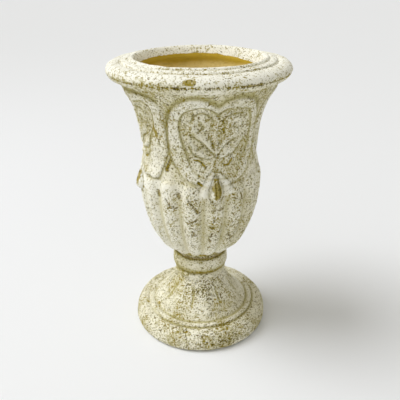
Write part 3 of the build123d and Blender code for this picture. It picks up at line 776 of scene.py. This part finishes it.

# dirt and painted shade darken the crease above the fillet, the crease under the bowl and the two grooves round the
# plinth, the grooves only on the side that faces the eye
crease = soft(height - 78.6, 4.4) * outside
stain += crease * (0.5 + 0.2 * np.cos(around - 0.1))
grimeAndShade += 0.85 * crease
topCrease = soft(height - 97.0, 2.8) * outside
stain += 0.5 * topCrease * (0.8 + 0.3 * np.sin(around * 5))
grimeAndShade += 0.7 * topCrease
grooveSeen = 0.15 + 0.85 * ease((turn + 82) / 45) * ease((125 - turn) / 50)
for grooveRadius, grooveHeight in pedestal["grooves"]:
    near = softSpot(radius, height, grooveRadius, grooveHeight, 1.2, 1.8) * outside
    stain += near * (0.25 + 0.3 * np.sin(around * 5 + grooveRadius))
    grimeAndShade += 0.7 * near * grooveSeen
    lift -= pedestal["grooveDepth"] * near * grooveSeen
# painted shade dulls the lit left side of the pedestal
grimeAndShade += 0.14 * ease((-turn - 25) / 40) * ease((180 + turn) / 40) * outside
for at, level, wide, tall, strength in pedestal["spots"]:
    spot = softSpot(turn, height, at, level, wide, tall) * (radius > 68) * outside
    stain += strength * spot
    lift -= pedestal["spotDepth"] * strength * spot
longPit = softSpot(turn, height, -82, 27.8, 4.5, 1.5) * onCone
stain += longPit
lift -= pedestal["longPitDepth"] * longPit

unevenness = np.where(outside, rubbed(place, pedestal["humps"]) - pedestal["wornAway"], 0)
lift += unevenness * np.clip((height - pedestal["lowest"]) / 3, 0, 1)
moveMesh(mesh, keepWithin(place + normal * lift[:, None], pedestal))
onPlinth = (radius > 60) & (height < 26)
pittingAndLight = 0.6 + 0.12 * onCone * ease((height - 36) / 16) + 0.12 * ((radius > 66) & (height < 25)) - 0.1 * (height > 76)
# painted light and shade: more specks on the lit left of the cone, fewer on the shaded right; on the plinth more in
# front than at the sides
pittingAndLight += 0.04 * ease(-turn / 60) * onCone - 0.12 * ease((turn - 5) / 50)
pittingAndLight += (0.1 * soft(turn + 4, 30) - 0.08 * ease((np.abs(turn) - 35) / 30)) * onPlinth
pittingAndLight += (0.25 * softSpot(turn, height, -10, 52, 26, 9) - 0.3 * paleSpot) * onCone
# a thin broken dark line in both creases: stain and painted shade
inCrease = np.minimum(np.abs(height - 97.2) / 2.0, 0.15 + np.abs(height - 76.4) / 1.9)
inCrease += 0.5 * np.sin(around * 9 + 2 * np.sin(around * 4)) ** 2
paint(mesh, {
    "grimeAndShade": grimeAndShade, "stain": stain, "pittingAndLight": pittingAndLight, "shadeLineGap": np.ones(len(place)),
    # painted light: the pedestal's faces turned up are painted whiter
    "markGap": np.where(outside, inCrease / farGap, 1), "washedAndLit": 0.3 * ease(normal[:, 2]),
    "bareInside": (radius < hollowRadius + 1.5) & (height < 60),
})
placePiece("pedestalCasting", mesh, stone, "pedestal_casting")
print("pedestal casting", len(mesh.polygons), "faces")


# mortar bed
bed = {"outer": 31.15, "inner": 4.5, "low": 97.2, "high": 98.5, "round": 0.4, "steps": 160, "squeeze": 0.35}
bedSide = [(bed["outer"] - bed["round"], bed["low"]), (bed["outer"], (bed["low"] + bed["high"]) / 2),
           (bed["outer"] - bed["round"], bed["high"])]
mesh = spunMesh("neckMortar", closedOutline((bed["inner"], bed["low"]), [
    (bedSide[:1], 5.0), (bedSide[1:], 0.3), ([(bed["inner"], bed["high"])], 5.0), ([(bed["inner"], bed["low"])], 0.7),
]), bed["steps"])
place, normal = readMesh(mesh)
outerEdge = np.hypot(place[:, 0], place[:, 1]) > 25
squeezed = bed["squeeze"] * (1 + waves(place, 6, 21)) * outerEdge
place[:, :2] -= normal[:, :2] * squeezed[:, None]
moveMesh(mesh, place)
placePiece("neckMortar", mesh, mortar, "neck_mortar")

# tie rod, nuts and washers
fittings = {
    "rodRadius": 4.0, "rodRoot": 3.4, "pitch": 1.25, "rodLow": 38.7, "rodHigh": 134.6, "rodChamfer": 0.8, "perTurn": 28,
    "bore": 4.5, "washerRadius": 12.0, "washerEdge": 0.25, "sealRadius": 13.0, "sealEdge": 0.5, "sealBulge": 0.12,
    "acrossFlats": 13.0, "nutHeight": 6.5, "nutChamfer": 0.75, "nutSlope": 1.3, "nutBore": 4.1, "nutLead": 0.4,
    "seal": (120.5, 122.5), "upperWasher": (122.5, 124.1), "upperNut": 124.1,
    "lowerWasher": (49.2, 50.8), "lowerNut": 42.7, "steps": 96,
}


def rolledRing(name, outer, span, edge, bulge, material, node):
    inner, (low, high) = fittings["bore"], span
    shoulder, belly = outer + bulge - edge * 0.3, outer + bulge
    side = [(outer - edge, low), (shoulder, low + edge * 0.35), (belly, (low + high) / 2),
            (shoulder, high - edge * 0.35), (outer - edge, high)]
    outline = closedOutline((inner, low), [(side[:1], 4.0), (side[1:], 0.25), ([(inner, high)], 4.0),
                                           ([(inner, low)], 0.8)])
    placePiece(name, spunMesh(name, outline, fittings["steps"]), material, node)


def hexNut(name, low, node):
    halfFlats, bore, lead = fittings["acrossFlats"] / 2, fittings["nutBore"], fittings["nutLead"]
    corner = halfFlats / math.cos(math.radians(30))
    flank, high, cut = corner - fittings["nutSlope"], low + fittings["nutHeight"], fittings["nutChamfer"]
    mesh = spunMesh(name, closedOutline((bore, low + lead), [
        ([(bore + lead, low)], 0.4), ([(flank, low)], 1.5), ([(corner, low + cut)], 0.3), ([(corner, high - cut)], 1.0),
        ([(flank, high)], 0.3), ([(bore + lead, high)], 1.5), ([(bore, high - lead)], 0.4), ([(bore, low + lead)], 1.0),
    ]), fittings["steps"])
    place, _ = readMesh(mesh)
    # the round blank is cut back to six flats
    angle = np.degrees(np.arctan2(place[:, 1], place[:, 0]))
    flat = halfFlats / np.cos(np.radians((angle + 60) % 60 - 30))
    place[:, :2] *= np.minimum(1, flat / np.hypot(place[:, 0], place[:, 1]))[:, None]
    moveMesh(mesh, place)
    placePiece(name, mesh, zinc, node)
    mesh.set_sharp_from_angle(angle=math.radians(24))


def threadedRod():
    root, crest, pitch = fittings["rodRoot"], fittings["rodRadius"], fittings["pitch"]
    bottom, top, perTurn = fittings["rodLow"], fittings["rodHigh"], fittings["perTurn"]
    turns = round((top - bottom) / pitch) + 2
    bm = bmesh.new()
    section = [(root, 0.0), (crest, 0.5), (crest, 0.62), (root, 1.12), (root, pitch)]
    verts = [bm.verts.new((r * mm, 0, (bottom - pitch + rise) * mm)) for r, rise in section]
    edges = [bm.edges.new(pair) for pair in zip(verts, verts[1:])]
    bmesh.ops.spin(bm, geom=verts + edges, cent=(0, 0, 0), axis=(0, 0, 1), angle=2 * math.pi * turns,
                   dvec=(0, 0, pitch * mm / perTurn), steps=perTurn * turns, use_merge=False)
    bmesh.ops.remove_doubles(bm, verts=bm.verts, dist=2e-5)
    # both ends are sawn square, closed and chamfered
    for level, up in ((top, 1), (bottom, -1)):
        whole = bm.verts[:] + bm.edges[:] + bm.faces[:]
        cut = bmesh.ops.bisect_plane(bm, geom=whole, dist=1e-7, plane_co=(0, 0, level * mm), plane_no=(0, 0, up),
                                     clear_outer=True)
        rim = [item for item in cut["geom_cut"] if isinstance(item, bmesh.types.BMEdge)]
        bmesh.ops.triangle_fill(bm, edges=rim, use_beauty=True)
    bmesh.ops.recalc_face_normals(bm, faces=bm.faces)
    for vert in bm.verts:
        endGap = min(top - vert.co.z / mm, vert.co.z / mm - bottom)
        most = (crest - max(0, fittings["rodChamfer"] - endGap)) * mm
        reach = math.hypot(vert.co.x, vert.co.y)
        if reach > most:
            vert.co.x *= most / reach
            vert.co.y *= most / reach
    mesh = meshFrom(bm, "tieRod")
    placePiece("tieRod", mesh, zinc, "tie_rod")
    mesh.set_sharp_from_angle(angle=math.radians(35))


rolledRing("sealingWasher", fittings["sealRadius"] - fittings["sealBulge"], fittings["seal"], fittings["sealEdge"],
           fittings["sealBulge"], rubber, "sealing_washer")
for name, node in (("upperWasher", "upper_washer"), ("lowerWasher", "lower_washer")):
    rolledRing(name, fittings["washerRadius"], fittings[name], fittings["washerEdge"], 0, zinc, node)
hexNut("upperNut", fittings["upperNut"], "upper_nut")
hexNut("lowerNut", fittings["lowerNut"], "lower_nut")
threadedRod()
print("mortar, rod, nuts and washers placed")

# foot pads
pads = {"count": 4, "radius": 4.5, "ring": 72.35, "low": 0.0, "high": 1.5, "edge": 0.35, "segments": 48}
bm = bmesh.new()
for number in range(pads["count"]):
    angle = 2 * math.pi * number / pads["count"]
    middle = (pads["ring"] * math.cos(angle) * mm, pads["ring"] * math.sin(angle) * mm,
              (pads["low"] + pads["high"]) / 2 * mm)
    bmesh.ops.create_cone(bm, cap_ends=True, segments=pads["segments"], radius1=pads["radius"] * mm,
                          radius2=pads["radius"] * mm, depth=(pads["high"] - pads["low"]) * mm,
                          matrix=Matrix.Translation(middle))
rims = [edge for edge in bm.edges if abs(edge.verts[0].co.z - edge.verts[1].co.z) < 1e-7]
bmesh.ops.bevel(bm, geom=rims, offset=pads["edge"] * mm, segments=3, profile=0.5, affect="EDGES", material=-1)
bmesh.ops.recalc_face_normals(bm, faces=bm.faces)
mesh = meshFrom(bm, "footPads")
placePiece("footPads", mesh, felt, "foot_pads")
print("foot pads placed")


# floor, light and camera
stageLook = {"floor": "#F0F3FB", "floorSize": 30.0, "backdrop": "#E6E6E7", "sky": "#FDF8E7", "skyStrength": 0.445}
bm = bmesh.new()
bmesh.ops.create_grid(bm, x_segments=1, y_segments=1, size=stageLook["floorSize"] / 2)
mesh = meshFrom(bm, "floor")
floor = addObject("floor", mesh)
# Matt white paint, rolled on smooth: the eye sees only the shadow that the foot throws on it.
floorPaint, _, floorShader, _ = startFinish("paleFloor")
floorShader.inputs["Base Color"].default_value = linear(stageLook["floor"])
floorShader.inputs["Roughness"].default_value = 0.9
floorShader.inputs["Specular IOR Level"].default_value = 0.1
mesh.materials.append(floorPaint)

world = bpy.data.worlds.new("softRoom")
bpy.context.scene.world = world
world.use_nodes = True
worldTree = world.node_tree
sky = worldTree.nodes["Background"]
sky.inputs["Color"].default_value = linear(stageLook["sky"])
sky.inputs["Strength"].default_value = stageLook["skyStrength"]
# seen directly the room is a pale backdrop; what it sends onto the vase is dimmer
seen = addNode(worldTree, "ShaderNodeLightPath")
straight = addNode(worldTree, "ShaderNodeMath", {"operation": "ADD"},
                   {0: seen.outputs["Is Camera Ray"], 1: seen.outputs["Is Glossy Ray"]})
seenRays = addNode(worldTree, "ShaderNodeMath", {"operation": "ADD", "use_clamp": True},
                   {0: straight.outputs["Value"], 1: seen.outputs["Is Transmission Ray"]})
backdrop = addNode(worldTree, "ShaderNodeBackground", {"Color": linear(stageLook["backdrop"]), "Strength": 1.0})
bothSkies = addNode(worldTree, "ShaderNodeMixShader", None,
                    {0: seenRays.outputs["Value"], 1: sky.outputs["Background"], 2: backdrop.outputs["Background"]})
worldTree.links.new(bothSkies.outputs["Shader"], worldTree.nodes["World Output"].inputs["Surface"])

# a wide soft light from the left, a nearer one that lets the floor fall off to the right, and a low one
# that models the front
lamps = {
    "softKey": {"kind": "SUN", "from": (-0.497, 0.182, 0.849), "away": 2.0, "energy": 1.42, "spread": 32.0,
                "colour": "#FFFEFB"},
    "nearKey": {"kind": "AREA", "from": (-0.654, 0.163, 0.739), "away": 1.65, "energy": 4.0, "spread": 0.9,
                "colour": "#FFFFFF"},
    "frontFill": {"kind": "SUN", "from": (-0.760, -0.420, 0.496), "away": 2.0, "energy": 0.52, "spread": 75.0,
                  "colour": "#FFFFFF"},
}
target = Vector((0, 0, 0.12))
for name, lamp in lamps.items():
    light = bpy.data.lights.new(name, lamp["kind"])
    if lamp["kind"] == "SUN":
        light.angle = math.radians(lamp["spread"])
    else:
        light.shape = "DISK"
        light.size = lamp["spread"]
    light.energy = lamp["energy"]
    light.color = linear(lamp["colour"])[:3]
    holder = addObject(name, light)
    holder.location = target + Vector(lamp["from"]) * lamp["away"]
    holder.rotation_euler = Vector(lamp["from"]).to_track_quat("Z", "Y").to_euler()

cameraSet = {"lens": 44.1, "azimuth": -14.5, "back": 0.528, "high": 0.41514, "tiltDown": 25.72, "roll": -0.35}
lens = bpy.data.cameras.new("photoCamera")
lens.lens = cameraSet["lens"]
lens.sensor_width = 36.0
lens.clip_start, lens.clip_end = 0.01, 60.0
camera = addObject("photoCamera", lens)
swing = math.radians(cameraSet["azimuth"])
spot = (cameraSet["back"] * math.sin(swing), -cameraSet["back"] * math.cos(swing), cameraSet["high"])
camera.matrix_world = (Matrix.Translation(spot) @ Matrix.Rotation(swing, 4, "Z")
                       @ Matrix.Rotation(math.radians(90 - cameraSet["tiltDown"]), 4, "X")
                       @ Matrix.Rotation(math.radians(cameraSet["roll"]), 4, "Z"))
bpy.context.scene.camera = camera
bpy.context.scene.view_settings.view_transform = "Standard"
print("floor, light and camera set")
